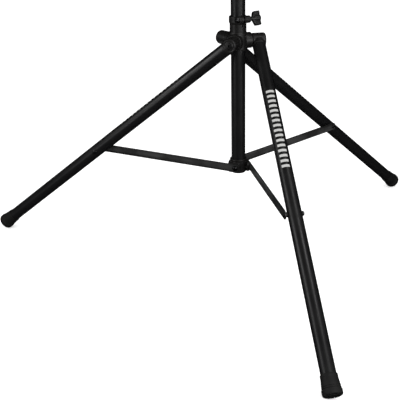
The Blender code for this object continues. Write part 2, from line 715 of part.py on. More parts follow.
def plug_outline(plate_radius, plate, spigot, edge):
    """Outline of a plug with a plate below its hollow spigot."""
    inner = POLE_RADIUS - POLE_WALL - TOUCH_GAP
    return [
        (0, 0),
        (plate_radius - edge, 0),
        (plate_radius, edge),
        (plate_radius, plate),
        (inner, plate),
        (inner, plate + spigot),
        (inner - CAP_WALL, plate + spigot),
        (inner - CAP_WALL, plate),
        (0, plate),
    ]


def pole_cap():
    outline = plug_outline(POLE_RADIUS, POLE_CAP_PLATE, POLE_CAP_SPIGOT, FINE_EDGE)
    turned_over = Matrix.Translation((0, 0, POLE_TOP)) @ Matrix.Rotation(math.pi, 4, "X")
    return moved(turned("pole_cap", outline), turned_over)


def pole_guide():
    """Plastic foot of the pole, which glides in the column."""
    radius = COLUMN_RADIUS - COLUMN_WALL - GLIDE_GAP
    outline = plug_outline(radius, POLE_GUIDE_PLATE, POLE_CAP_SPIGOT, EDGE)
    bottom = POLE_BOTTOM - TOUCH_GAP - POLE_GUIDE_PLATE
    return moved(turned("pole_guide", outline), Matrix.Translation((0, 0, bottom)))


def locking_pin():
    start = -POLE_RADIUS - PIN_TIP
    outline = [
        (0, start),
        (PIN_RADIUS - PIN_POINT, start),
        (PIN_RADIUS, start + PIN_POINT),
        (PIN_RADIUS, PIN_END),
        (0, PIN_END),
    ]
    return moved(turned("locking_pin", outline, BOLT_SIDES), pin_frame())


def pin_grip():
    end = PIN_GRIP_START + PIN_GRIP_LENGTH
    bore = PIN_RADIUS + HOLE_GAP
    bore_end = PIN_END + TOUCH_GAP
    grip = turned("pin_grip", [
        (bore, PIN_GRIP_START),
        (PIN_GRIP_RADIUS - EDGE, PIN_GRIP_START),
        (PIN_GRIP_RADIUS, PIN_GRIP_START + EDGE),
        (PIN_GRIP_RADIUS, end - EDGE),
        (PIN_GRIP_RADIUS - EDGE, end),
        (0, end),
        (0, bore_end),
        (bore, bore_end),
    ], GRIP_SIDES)
    return moved(grip, pin_frame())


# Assembly

def build_column(looks):
    place("outer_tube", outer_tube(), looks["tube"])
    place("base_hub", base_hub(), looks["casting"])
    place("hub_end_cap", hub_end_cap(), looks["plastic"])
    clamp = moved(top_clamp(), Matrix.Translation((0, 0, TOP_CLAMP_BOTTOM)))
    place("top_clamp", clamp, looks["casting"])
    place("pole_bush", pole_bush(), looks["plastic"])
    bolt = hub_bolt()
    for station, turn in STATIONS.items():
        facing = Matrix.Rotation(turn, 4, "Z")
        pivot = axis_empty(f"hub_pivot_{station}", (0, 0, HUB_PIVOT_Z), facing)
        place(f"hub_bolt_{station}", bolt, looks["bolt"], pivot)


def build_struts(looks):
    bar, bolt, spacer = strut_bar(), strut_bolt(), strut_spacer()
    for station, turn in STATIONS.items():
        slope = Matrix.Rotation(turn, 4, "Z") @ Matrix.Rotation(-STRUT_SLOPE, 4, "X")
        pivot = axis_empty(f"strut_pivot_{station}", (0, 0, HUB_PIVOT_Z), slope)
        place(f"strut_{station}", bar, looks["bar"], pivot)
        place(f"strut_bolt_{station}", bolt, looks["bolt"], pivot)
        place(f"strut_spacer_{station}", spacer, looks["plastic"], pivot)


def build_legs(looks):
    pieces = {
        "leg_tube": (leg_tube(), looks["tube"]),
        "leg_knuckle": (leg_knuckle(), looks["casting"]),
        "foot": (foot(), looks["rubber"]),
        "leg_pivot_nut": (leg_pivot_nut(), looks["bolt"]),
    }
    for station, turn in STATIONS.items():
        lean = Matrix.Rotation(turn, 4, "Z") @ Matrix.Rotation(-LEG_ANGLE, 4, "X")
        hinge = axis_empty(f"leg_hinge_{station}", (0, 0, HINGE_Z), lean)
        for piece, (mesh, look) in pieces.items():
            place(f"{piece}_{station}", mesh, look, hinge)


def build_collar(looks):
    slide = axis_empty("collar_slide", (0, 0, HINGE_Z))
    place("collar_housing", collar_housing(), looks["casting"], slide)
    place("collar_bush", collar_bush(), looks["plastic"], slide)
    bolt, washer = hinge_bolt(), hinge_washer()
    for station, turn in STATIONS.items():
        facing = Matrix.Rotation(turn, 4, "Z")
        arm = axis_empty(f"arm_{station}", rotation=facing, parent=slide)
        place(f"hinge_bolt_{station}", bolt, looks["bolt"], arm)
        place(f"hinge_washer_{station}", washer, looks["plastic"], arm)


def build_clamps(looks):
    nut, knob, screw = clamp_nut(), clamp_knob(), clamp_screw()
    heights = {
        "collar": HINGE_Z + COLLAR_TOP - COLLAR_SCREW_DROP,
        "top": TOP_CLAMP_TOP - BOSS_RADIUS,
    }
    for clamp, height in heights.items():
        axis = axis_empty(f"{clamp}_screw_axis", rotation=screw_frame(height))
        place(f"{clamp}_clamp_nut", nut, looks["bolt"], axis)
        place(f"{clamp}_clamp_screw", screw, looks["bolt"], axis)
        place(f"{clamp}_clamp_knob", knob, looks["plastic"], axis)


def build_pole(looks):
    place("pole_tube", pole_tube(), looks["tube"])
    place("pole_cap", pole_cap(), looks["plastic"])
    place("pole_guide", pole_guide(), looks["plastic"])
    place("locking_pin", locking_pin(), looks["bolt"])
    place("pin_grip", pin_grip(), looks["plastic"])


def main():
    for item in list(bpy.data.objects):
        bpy.data.objects.remove(item)
    looks = {
        "tube": material("black_powder_coat", (0.012, 0.012, 0.013), 0.38, 0.0),
        "casting": material("black_painted_casting", (0.015, 0.014, 0.014), 0.45, 0.0),
        "bar": material("black_painted_bar", (0.016, 0.016, 0.016), 0.40, 0.0),
        "plastic": material("black_plastic", (0.010, 0.010, 0.010), 0.50, 0.0),
        "rubber": material("black_rubber", (0.014, 0.014, 0.014), 0.75, 0.0),
        "bolt": material("black_oxide_steel", (0.06, 0.06, 0.06), 0.35, 1.0),
    }
    build_column(looks)
    build_struts(looks)
    build_legs(looks)
    build_collar(looks)
    build_clamps(looks)
    build_pole(looks)


main()
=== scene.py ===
"""Looks of a folding speaker stand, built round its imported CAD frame.

Pieces are shaped in millimetres, each in a local frame with Z along its own turning axis,
and are placed by frames worked out from the CAD nodes and joints. The row frame is in metres.
"""

import json
import math

import bmesh
import bpy
from mathutils import Matrix, Vector


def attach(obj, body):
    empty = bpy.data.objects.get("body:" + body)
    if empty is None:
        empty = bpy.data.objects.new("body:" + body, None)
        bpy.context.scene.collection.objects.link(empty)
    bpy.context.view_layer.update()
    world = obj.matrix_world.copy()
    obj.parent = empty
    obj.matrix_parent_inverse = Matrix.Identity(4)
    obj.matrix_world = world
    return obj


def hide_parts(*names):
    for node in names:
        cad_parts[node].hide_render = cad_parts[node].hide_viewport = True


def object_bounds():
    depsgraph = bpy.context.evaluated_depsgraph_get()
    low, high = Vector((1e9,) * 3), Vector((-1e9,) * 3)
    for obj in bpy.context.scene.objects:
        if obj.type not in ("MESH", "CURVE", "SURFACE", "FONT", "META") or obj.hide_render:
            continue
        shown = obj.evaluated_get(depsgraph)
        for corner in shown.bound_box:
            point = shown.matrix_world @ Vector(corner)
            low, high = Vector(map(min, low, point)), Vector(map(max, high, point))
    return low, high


MM = 0.001
ROUND = 96               # facets round a tube or a turned piece
RING_STEP = 14.0         # mm between the rings along a long tube
STATIONS = ("front", "right", "left")
KNOB_TILT = math.radians(-20)
UP = Vector((0, 0, 1))
ALONG_X = Matrix.Rotation(math.pi / 2, 4, "Y")
# Turns a flat outline so that its X runs outward, its Y down and its thickness along the hinge
ON_EDGE = Matrix(((0, 0, 1, 0), (-1, 0, 0, 0), (0, -1, 0, 0), (0, 0, 0, 1)))

# Sizes shared with the CAD, in mm
COLUMN_R = 19.05
BORE_R = 19.35
LEG_R = 17.46
LEG_WALL = 1.5
KNUCKLE_R = 18.5
POLE_R = 17.465
POLE_WALL = 1.65
TOUCH_GAP = 0.3
BOLT_HOLE_R = 4.3
HINGE_HOLE_R = 5.3
HOLE_PITCH = 127.0
POLE_HOLES = 8
BOSS_SHORT = 14.0
BOSS_LONG = 19.5


# Frames

def axes(origin, x, z):
    """A frame with the given X and Z directions, which are at right angles."""
    y = z.cross(x)
    turn = Matrix((x, y, z)).transposed().to_4x4()
    return Matrix.Translation(origin) @ turn


def joint(name):
    return next(j for j in frame["joints"] if j["name"] == name)


def centre(node):
    points = [v.co for v in frame["nodes"][node].data.vertices]
    return sum(points, Vector()) / len(points)


def span(node, place):
    """Lowest and highest corner of a CAD node in a frame, in mm."""
    back = place.inverted()
    points = [(back @ v.co) / MM for v in frame["nodes"][node].data.vertices]
    low = Vector([min(p[k] for p in points) for k in range(3)])
    high = Vector([max(p[k] for p in points) for k in range(3)])
    return low, high


def station_frame(name, station):
    """At a hinge on the column's axis, X along the hinge and -Y outwards."""
    hinge = joint(f"leg_fold_{station}")
    origin = Vector(joint(f"{name}_fold_{station}")["pos_m"])
    return axes(origin, Vector(hinge["axis"]).normalized(), UP)


def leg_frame(station):
    """At the leg's hinge, X along it and -Z down the leg."""
    flat = station_frame("leg", station)
    along = flat.to_3x3().col[0]
    down = centre(f"foot_{station}") - flat.translation
    down = (down - along * down.dot(along)).normalized()
    return axes(flat.translation, along, -down)


def strut_frame(station):
    """At the hub's pivot, X along it and -Y along the strut."""
    flat = station_frame("strut", station)
    along = flat.to_3x3().col[0]
    out = centre(f"strut_bolt_{station}") - flat.translation
    out = (out - along * out.dot(along)).normalized()
    return axes(flat.translation, along, along.cross(-out))


def clamp_frame(clamp):
    """On a clamp screw's axis, X towards the knob and -Y through the slot."""
    turn = joint(f"{clamp}_knob_turn")
    return axes(Vector(turn["pos_m"]), -Vector(turn["axis"]).normalized(), UP)


def knob_frame(clamp):
    """On a clamp screw's axis, Z towards the knob and X across its wings."""
    return clamp_frame(clamp) @ Matrix.Rotation(math.pi + KNOB_TILT, 4, "X") @ ALONG_X


# Shapes

def eased(outline, radius=0.4, steps=3):
    """An outline with its corners rounded. A third value in a point is its own radius."""
    done = []
    for k, point in enumerate(outline):
        here = Vector(point[:2])
        before = Vector(outline[k - 1][:2]) - here
        after = Vector(outline[(k + 1) % len(outline)][:2]) - here
        own = point[2] if len(point) > 2 else radius
        reach = min(own, before.length * 0.45, after.length * 0.45)
        if here.x < 1e-6 or reach < 0.02:
            done.append(here)
            continue
        start = here + before.normalized() * reach
        end = here + after.normalized() * reach
        for step in range(steps + 1):
            t = step / steps
            done.append(start * (1 - t) ** 2 + here * 2 * t * (1 - t) + end * t * t)
    return done


def stepped(outline):
    """An outline with its long straight runs divided, so that shading can vary along them."""
    done = []
    for k, here in enumerate(outline):
        after = outline[(k + 1) % len(outline)]
        count = max(1, math.ceil((after - here).length / RING_STEP))
        if here.x < 1e-6 and after.x < 1e-6:
            count = 1
        done += [here.lerp(after, j / count) for j in range(count)]
    return done


def mesh_from(work):
    bmesh.ops.recalc_face_normals(work, faces=work.faces)
    mesh = bpy.data.meshes.new("shape")
    work.to_mesh(mesh)
    work.free()
    return mesh


def turned(outline, sides=ROUND, ease=0.4, shift=0.0):
    """A solid turned about Z from a closed outline of (radius, height) points."""
    work = bmesh.new()
    rings = []
    for point in stepped(eased(outline, ease)):
        count = sides if point.x > 1e-6 else 1
        turns = [2 * math.pi * (k + shift) / sides for k in range(count)]
        rings.append([work.verts.new((point.x * math.cos(t), point.x * math.sin(t), point.y)) for t in turns])
    for first, second in zip(rings, rings[1:] + rings[:1]):
        if len(first) + len(second) == 2:
            continue
        for k in range(sides):
            after = (k + 1) % sides
            corners = [first[k % len(first)], first[after % len(first)]]
            corners += [second[after % len(second)], second[k % len(second)]]
            work.faces.new(list(dict.fromkeys(corners)))
    return mesh_from(work)


def tube(outer, inner, bottom, top, ease=0.35, sides=ROUND):
    return turned([(outer, bottom), (outer, top), (inner, top), (inner, bottom)], sides, ease)


def rod(radius, bottom, top, sides=ROUND):
    """A plain cylinder for cutting, half a facet round from the turned solids."""
    return turned([(0, bottom), (radius, bottom), (radius, top), (0, top)], sides, 0, 0.5)


def plate(outline, bottom, top, bevel=0.0, steps=3):
    """A solid with a flat outline, from bottom to top along Z, its rims rounded."""
    work = bmesh.new()
    face = work.faces.new([work.verts.new((x, y, bottom)) for x, y in outline])
    raised = bmesh.ops.extrude_face_region(work, geom=[face])["geom"]
    upper = [item for item in raised if isinstance(item, bmesh.types.BMVert)]
    bmesh.ops.translate(work, verts=upper, vec=(0, 0, top - bottom))
    if bevel:
        rims = [e for e in work.edges if abs(e.verts[0].co.z - e.verts[1].co.z) < 1e-4]
        bmesh.ops.bevel(work, geom=rims, offset=bevel, segments=steps, profile=0.5, affect="EDGES")
    return mesh_from(work)


def arc(x, y, radius, start, end, steps=8):
    turns = [math.radians(start + (end - start) * k / steps) for k in range(steps + 1)]
    return [(x + radius * math.cos(t), y + radius * math.sin(t)) for t in turns]


def round_box(left, right, low, high, corner):
    """Outline of a rectangle with round corners."""
    outline = arc(right - corner, high - corner, corner, 0, 90)
    outline += arc(left + corner, high - corner, corner, 90, 180)
    outline += arc(left + corner, low + corner, corner, 180, 270)
    return outline + arc(right - corner, low + corner, corner, 270, 360)


def moved(mesh, matrix):
    mesh.transform(matrix)
    return mesh


def at(x=0.0, y=0.0, z=0.0):
    return Matrix.Translation((x, y, z))


def evaluated(mesh, *steps):
    """The mesh after a list of modifiers, each a kind and its settings."""
    holder = bpy.data.objects.new("holder", mesh)
    bpy.context.scene.collection.objects.link(holder)
    for kind, settings in steps:
        step = holder.modifiers.new(kind, kind)
        for key, value in settings.items():
            setattr(step, key, value)
    depsgraph = bpy.context.evaluated_depsgraph_get()
    result = bpy.data.meshes.new_from_object(holder.evaluated_get(depsgraph))
    bpy.data.objects.remove(holder)
    return result


def cut(base, *tools, operation="DIFFERENCE"):
    for tool in tools:
        other = bpy.data.objects.new("tool", tool)
        bpy.context.scene.collection.objects.link(other)
        settings = {"operation": operation, "solver": "EXACT", "object": other}
        base = evaluated(base, ("BOOLEAN", settings))
        bpy.data.objects.remove(other)
    return base


def together(*meshes):
    """Several meshes as one, each left as it is."""
    work = bmesh.new()
    for mesh in meshes:
        work.from_mesh(mesh)
    mesh = bpy.data.meshes.new("group")
    work.to_mesh(mesh)
    work.free()
    return mesh


def cast(parts, voxel=0.8, passes=5, factor=0.5):
    """Overlapping solids run into one body with soft fillets, as a casting or a moulding has."""
    remesh = {"mode": "VOXEL", "voxel_size": voxel}
    smooth = {"factor": factor, "iterations": passes}
    return evaluated(together(*parts), ("REMESH", remesh), ("SMOOTH", smooth))


def put(name, mesh, place, body, nodes, slot, sharp=34, look=None):
    """Shows a mesh as one piece in place of CAD nodes, riding on their body."""
    mesh.transform(Matrix.Scale(MM, 4))
    mesh.name = name
    mesh.materials.clear()
    mesh.materials.append(look or looks[slot])
    mesh.shade_smooth()
    mesh.set_sharp_from_angle(angle=math.radians(sharp))
    return show(name, mesh, place, body, nodes)


def show(name, mesh, place, body, nodes):
    piece = bpy.data.objects.new(name, mesh)
    bpy.context.scene.collection.objects.link(piece)
    piece.matrix_world = place
    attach(piece, body)
    if nodes:
        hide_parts(*nodes)
    return piece


# Materials

def add(tree, kind, inputs=None, **properties):
    """A shader node with its settings, and its inputs as values or as sockets to link."""
    made = tree.nodes.new(kind)
    for key, value in properties.items():
        setattr(made, key, value)
    for key, value in (inputs or {}).items():
        if isinstance(value, bpy.types.NodeSocket):
            tree.links.new(value, made.inputs[key])
        else:
            made.inputs[key].default_value = value
    return made


def ranged(tree, value, low, high, out_low, out_high):
    inputs = {"Value": value, "From Min": low, "From Max": high, "To Min": out_low, "To Max": out_high}
    return add(tree, "ShaderNodeMapRange", inputs, clamp=True).outputs["Result"]


def maths(tree, operation, first, second):
    return add(tree, "ShaderNodeMath", {0: first, 1: second}, operation=operation).outputs[0]


def noise(tree, where, scale, detail=2.0, roughness=0.5):
    inputs = {"Vector": where, "Scale": scale, "Detail": detail, "Roughness": roughness}
    return add(tree, "ShaderNodeTexNoise", inputs).outputs["Fac"]


def blended(tree, factor, first, second):
    mix = add(tree, "ShaderNodeMix", data_type="RGBA")
    for socket, value in ((mix.inputs[0], factor), (mix.inputs[6], first), (mix.inputs[7], second)):
        if isinstance(value, bpy.types.NodeSocket):
            tree.links.new(value, socket)
        else:
            socket.default_value = value
    return mix.outputs[2]


def surface(name, colour, gloss, grain, depth, worn, edge_wear=0.0, scuffs=0.25, dust=0.02,
            lines=0.3, metallic=0.0, specular=0.5):
    """A dark finish: grain bump, patchy gloss, fine marks along Z, worn edges and a trace of dust."""
    look = bpy.data.materials.new(name)
    look.use_nodes = True
    tree = look.node_tree
    shader = tree.nodes["Principled BSDF"]
    where = add(tree, "ShaderNodeTexCoord").outputs["Object"]
    stretched = add(tree, "ShaderNodeMapping", {"Vector": where, "Scale": (1.0, 1.0, 0.03)}).outputs[0]
    fine = noise(tree, where, grain, 3.0, 0.6)
    broad = noise(tree, where, 16.0, 4.0)
    marks = noise(tree, stretched, 620.0, 3.0, 0.7)
    scratch = ranged(tree, marks, 0.66, 0.74, 0.0, lines)
    patch = ranged(tree, noise(tree, where, 34.0, 5.0, 0.65), 0.56, 0.72, 0.0, scuffs)
    geometry = add(tree, "ShaderNodeNewGeometry")
    bend = ranged(tree, geometry.outputs["Pointiness"], 0.515, 0.60, 0.0, edge_wear)
    rubbed = maths(tree, "MULTIPLY", bend, ranged(tree, broad, 0.35, 0.65, 0.3, 1.0))
    facing = add(tree, "ShaderNodeSeparateXYZ", {0: geometry.outputs["Normal"]}).outputs["Z"]
    settled = maths(tree, "MULTIPLY", ranged(tree, facing, 0.1, 1.0, 0.0, dust), broad)
    wear = maths(tree, "MAXIMUM", rubbed, maths(tree, "MULTIPLY", scratch, patch))
    colour_now = blended(tree, wear, (*colour, 1.0), (*worn, 1.0))
    colour_now = blended(tree, settled, colour_now, (0.30, 0.29, 0.27, 1.0))
    tree.links.new(colour_now, shader.inputs["Base Color"])
    rough = ranged(tree, broad, 0.3, 0.7, gloss - 0.05, gloss + 0.06)
    rough = maths(tree, "ADD", rough, maths(tree, "MULTIPLY", patch, 0.25))
    rough = maths(tree, "ADD", rough, maths(tree, "MULTIPLY", fine, 0.04))
    tree.links.new(rough, shader.inputs["Roughness"])
    shader.inputs["Metallic"].default_value = metallic
    shader.inputs["Specular IOR Level"].default_value = specular
    height = maths(tree, "ADD", fine, maths(tree, "MULTIPLY", scratch, -0.6))
    bump = add(tree, "ShaderNodeBump", {"Height": height, "Strength": 0.6, "Distance": depth})
    tree.links.new(bump.outputs["Normal"], shader.inputs["Normal"])
    return look


def print_look():
    """Screen-printed pale ink with thin patches and fine pinholes."""
    look = bpy.data.materials.new("pale_print")
    look.use_nodes = True
    tree = look.node_tree
    shader = tree.nodes["Principled BSDF"]
    where = add(tree, "ShaderNodeTexCoord").outputs["Object"]
    thin = ranged(tree, noise(tree, where, 420.0, 4.0, 0.7), 0.58, 0.74, 0.0, 0.55)
    ink = blended(tree, thin, (0.40, 0.40, 0.39, 1.0), (0.05, 0.05, 0.05, 1.0))
    tree.links.new(ink, shader.inputs["Base Color"])
    tree.links.new(ranged(tree, thin, 0.0, 0.5, 0.42, 0.6), shader.inputs["Roughness"])
    bump = add(tree, "ShaderNodeBump", {"Height": thin, "Strength": 0.3, "Distance": 0.0001})
    tree.links.new(bump.outputs["Normal"], shader.inputs["Normal"])
    return look


def make_looks():
    grey = (0.09, 0.09, 0.09)
    return {
        "tube": surface("powder_coat", (0.0038, 0.0038, 0.0042), 0.34, 1500.0, 0.00004, grey, scuffs=0.5),
        "casting": surface("painted_casting", (0.0048, 0.0043, 0.0041), 0.40, 900.0, 0.00010,
                           (0.11, 0.105, 0.10), edge_wear=0.35, lines=0.1),
        "bar": surface("painted_bar", (0.0050, 0.0050, 0.0050), 0.33, 1200.0, 0.00005, grey,
                       edge_wear=0.4, scuffs=0.6, lines=0.6),
        "plastic": surface("moulded_plastic", (0.0040, 0.0040, 0.0040), 0.45, 1600.0, 0.00004,
                           (0.05, 0.05, 0.05), edge_wear=0.2, lines=0.1),
        "knob": surface("knob_plastic", (0.0040, 0.0040, 0.0040), 0.38, 1300.0, 0.00006, (0.06, 0.06, 0.06),
                        edge_wear=0.3, lines=0.1),
        "rubber": surface("moulded_rubber", (0.0036, 0.0036, 0.0036), 0.62, 800.0, 0.00008,
                          (0.07, 0.07, 0.068), edge_wear=0.4, lines=0.15, dust=0.03, specular=0.3),
        "bolt": surface("black_oxide", (0.055, 0.055, 0.058), 0.34, 1500.0, 0.00003, (0.35, 0.34, 0.33),
                        edge_wear=0.5, metallic=1.0),
    }


# Column, base hub and struts

def column_tube():
    low, high = span("outer_tube", Matrix())
    mesh = tube(COLUMN_R, COLUMN_R - 1.25, low.z, high.z)
    put("column_outer_tube", mesh, Matrix(), "column", ["outer_tube"], "tube")


def hub_casting():
    """The column's foot: a sleeve with a rolled rim, three ears for the struts and rivets between them."""
    low, high = span("base_hub", Matrix())
    outer = 22.45
    parts = [turned([
        (BORE_R - 1, low.z), (outer - 0.8, low.z, 1.2), (outer, low.z + 2.0), (outer, high.z - 5.5, 0.8),
        (outer + 0.7, high.z - 4.6), (outer + 0.7, high.z - 1.4), (outer - 0.9, high.z, 0.9),
        (BORE_R - 1, high.z),
    ])]
    for station in STATIONS:
        place = station_frame("strut", station)
        lift = at(z=place.translation.z / MM) @ place.to_3x3().to_4x4()
        ear = plate(round_box(-12, 24, -13.5, 13.5, 8.1), BORE_R, 26.75, 0.7)
        parts.append(moved(ear, lift @ ON_EDGE))
        pad = turned([(0, BORE_R), (9.6, BORE_R), (9.2, 26.95), (0, 26.95)], 48, 0.5)
        parts.append(moved(pad, lift @ ALONG_X))
        web = plate(round_box(10, 22, -2, 2, 1.9), BORE_R - 3, 25.8, 0.5)
        parts.append(moved(web, lift @ ON_EDGE))
    hub = cast(parts, 0.7, 4)
    tools = [rod(BORE_R, low.z + 2.8, high.z + 2), rod(COLUMN_R - 4.5, low.z - 2, high.z)]
    for station in STATIONS:
        place = station_frame("strut", station)
        lift = at(z=place.translation.z / MM) @ place.to_3x3().to_4x4()
        tools.append(moved(rod(BOLT_HOLE_R, 14.0, 30.0, 48), lift @ ALONG_X))
    put("base_hub_casting", cut(hub, *tools), Matrix(), "column", ["base_hub"], "casting", 40)
    rivets = []
    for k in range(3):
        turn = Matrix.Rotation(math.radians(50 + 120 * k), 4, "Z")
        head = turned([(0, 22.2), (2.6, 22.2, 0.1), (2.4, 22.9, 0.5), (1.2, 23.4, 0.6), (0, 23.5)], 32, 0.2)
        rivets.append(moved(head, turn @ at(z=29.5) @ ALONG_X))
    put("base_hub_rivets", together(*rivets), Matrix(), "column", [], "bolt")


def hub_cap():
    low, high = span("hub_end_cap", Matrix())
    outer, spigot = COLUMN_R, COLUMN_R - 4.8
    mesh = turned([
        (0, low.z + 0.9), (8.0, low.z + 0.9, 0.4), (8.8, low.z, 0.4), (outer - 0.2, low.z, 1.0),
        (outer, low.z + 2.0, 0.3), (spigot, low.z + 2.0), (spigot, high.z, 0.6), (spigot - 2.2, high.z, 0.4),
        (spigot - 2.2, low.z + 2.3), (0, low.z + 2.3),
    ])
    put("column_end_cap", mesh, Matrix(), "column", ["hub_end_cap"], "plastic")


def hexagon(radius, bottom, top):
    return plate(arc(0, 0, radius, 0, 300, 5), bottom, top)


def pivot_bolts():
    """Button-head bolts on which the struts turn, each on a thin washer."""
    for station in STATIONS:
        place = station_frame("strut", station) @ ALONG_X
        node = f"hub_bolt_{station}"
        low, high = span(node, place)
        head = high.z - 5.0
        bolt = turned([
            (0, low.z), (4.0, low.z, 0.5), (4.0, head + 0.9, 0.1), (6.4, head + 0.9, 0.3),
            (6.5, head + 2.0, 0.6),
            (5.2, head + 3.9, 1.2), (3.4, high.z, 0.4), (0, high.z),
        ], 64, 0.3)
        bolt = cut(bolt, hexagon(2.3, high.z - 2.4, high.z + 1))
        washer = tube(7.6, 4.05, head + 0.02, head + 0.85, 0.25, 64)
        put(f"hub_pivot_bolt_{station}", together(bolt, washer), place, "column", [node], "bolt")


def struts():
    for station in STATIONS:
        place = strut_frame(station)
        body = f"strut_{station}"
        low, high = span(body, place)
        half, reach = (high.z - low.z) / 2, -low.y - (high.z - low.z) / 2
        outline = arc(0, 0, half, 90, 270, 20) + arc(reach, 0, half, 270, 450, 20)
        bar = plate(outline, low.x, high.x, 0.75, 4)
        for x in (0, reach):
            bar = cut(bar, moved(rod(BOLT_HOLE_R, low.x - 2, high.x + 2, 48), at(x)))
        put(f"strut_bar_{station}", moved(bar, ON_EDGE), place, body, [body], "bar", 40)
        far = place @ at(0, -reach * MM, 0) @ ALONG_X
        node = f"strut_bolt_{station}"
        start, end = span(node, far)
        rivet = turned([
            (0, start.z), (2.6, start.z, 0.8), (5.0, start.z + 1.1, 1.0), (5.8, start.z + 2.6, 0.4),
            (5.8, start.z + 3.4, 0.2), (4.0, start.z + 3.4, 0.1), (4.0, end.z, 0.4), (0, end.z),
        ], 64, 0.3)
        put(f"strut_rivet_{station}", rivet, far, body, [node], "bolt")
        node = f"strut_spacer_{station}"
        start, end = span(node, far)
        middle = (start.z + end.z) / 2
        spacer = turned([
            (6.5, start.z, 0.5), (6.5, middle - 1.2), (6.0, middle - 0.6), (6.0, middle + 0.6),
            (6.5, middle + 1.2), (6.5, end.z, 0.5), (BOLT_HOLE_R, end.z), (BOLT_HOLE_R, start.z),
        ], 64, 0.4)
        put(f"strut_spacer_ring_{station}", spacer, far, body, [node], "plastic")


# Legs

def leg_tube(station, place):
    """A tube whose top is coped to sit round the knuckle, drilled for the strut's bolt."""
    node = f"leg_tube_{station}"
    low, _ = span(node, place)
    middle = centre_across(station, place)
    bolt = span(f"leg_pivot_nut_{station}", place)
    height = (bolt[0].z + bolt[1].z) / 2
    mesh = moved(tube(LEG_R, LEG_R - LEG_WALL, low.z, -6.0), at(middle))
    ends = middle - LEG_R - 2, middle + LEG_R + 2
    saddle = moved(rod(KNUCKLE_R + 0.15, *ends), ALONG_X)
    hole = moved(rod(BOLT_HOLE_R, *ends, 48), at(z=height) @ ALONG_X)
    mesh = cut(mesh, saddle, hole)
    put(f"leg_tube_round_{station}", moved(mesh, at(-middle)), place @ at(middle * MM),
        f"leg_{station}", [node], "tube")


def centre_across(station, place):
    """How far along the hinge the leg's own axis is, in mm."""
    return (place.inverted() @ centre(f"foot_{station}")).x / MM


def knuckle(station, place):
    """The leg's hinge barrel with a flanged, recessed end face, and the spigot in the tube."""
    node = f"leg_knuckle_{station}"
    low, high = span(node, place)
    r, start, end = KNUCKLE_R, low.x, high.x
    barrel = turned([
        (0, start), (r - 0.2, start, 1.2), (r, start + 2.0), (r, end - 4.2, 2.0), (r - 1.6, end - 1.2, 1.2),
        (r - 3.4, end, 0.8), (r - 4.0, end - 1.3, 0.5),
        (10.4, end - 1.3, 0.5), (9.9, end, 0.4), (0, end),
    ])
    middle = centre_across(station, place)
    inside = LEG_R - LEG_WALL - 0.2
    neck = turned([(0, -9), (inside, -9), (inside, low.z), (inside - 3, low.z), (inside - 3, -24), (0, -24)])
    collar = turned([(0, -8), (LEG_R + 0.9, -8), (LEG_R + 0.9, -19.6, 0.6), (inside, -20.0), (0, -20.0)])
    body = cast([moved(barrel, ALONG_X), moved(neck, at(middle)), moved(collar, at(middle))], 0.7, 3)
    bore = rod(HINGE_HOLE_R, start - 2, end + 2, 64)
    seat = rod(8.3, end - 6.8, end + 2, 64)
    face = rod(KNUCKLE_R + 8, start - 8, start, 64)
    body = cut(body, moved(bore, ALONG_X), moved(seat, ALONG_X), moved(face, ALONG_X))
    put(f"leg_knuckle_casting_{station}", body, place, f"leg_{station}", [node], "casting", 40)


def foot(station, place):
    """A rubber boot with a thick lip, moulded rings and a treaded sole."""
    node = f"foot_{station}"
    low, high = span(node, place)
    middle = centre_across(station, place)
    bore, top, length = LEG_R + 0.25, LEG_R + 1.7, high.z - low.z
    wide = (high.y - low.y) / 2
    outline = [(0, 0.9), (6.0, 0.9, 0.3), (6.4, 0.0, 0.3), (9.6, 0.0, 0.3), (10.0, 0.9, 0.3),
               (11.6, 0.9, 0.3), (12.0, 0.0, 0.3),
               (wide - 3.6, 0.1, 1.0), (wide - 0.9, 1.7, 2.2), (wide, 5.2, 2.0), (wide - 0.10, 13.4, 0.6)]
    for k in range(2):
        height = 15.0 + 4.2 * k
        radius = wide - (wide - top) * height / length
        outline += [(radius - 0.05, height - 0.9, 0.25), (radius - 0.85, height - 0.5, 0.3),
                    (radius - 0.85, height + 0.5, 0.3), (radius - 0.05, height + 0.9, 0.25)]
    outline += [(top + 0.1, length - 7.5, 0.5), (top + 0.5, length - 6.2, 0.7),
                (top + 0.3, length - 0.7, 0.9), (bore + 0.9, length, 0.6),
                (bore, length - 0.6, 0.4), (bore, 8.0), (0, 8.0)]
    mesh = turned(outline)
    for k in range(8):
        groove = plate(round_box(12.6, 30.0, -0.9, 0.9, 0.4), -2.0, 3.6)
        mesh = cut(mesh, moved(groove, Matrix.Rotation(math.pi * (k + 0.5) / 4, 4, "Z")))
    put(f"rubber_foot_{station}", mesh, place @ at(middle * MM, 0, low.z * MM), f"leg_{station}",
        [node], "rubber", 40)


def cap_nut(station, place):
    """A domed nut on a washer, with the bolt's end inside the tube."""
    node = f"leg_pivot_nut_{station}"
    low, high = span(node, place)
    height = (low.z + high.z) / 2
    flat = high.x - 5.0
    shank = rod(4.0, low.x, flat + 0.5, 48)
    washer = tube(6.5, 4.02, flat, flat + 0.9, 0.25, 48)
    blank = turned([(0, flat + 0.9), (5.4, flat + 0.9, 0.2), (6.3, flat + 1.5, 0.3), (6.3, flat + 2.8, 0.3),
                    (4.6, flat + 3.4, 0.5), (3.4, flat + 4.7, 0.8), (0, flat + 5.0)], 64, 0.2)
    nut = cut(blank, hexagon(6.35, flat, flat + 9), operation="INTERSECT")
    put(f"leg_cap_nut_{station}", together(shank, washer, nut), place @ at(0, 0, height * MM) @ ALONG_X,
        f"leg_{station}", [node], "bolt", 30)


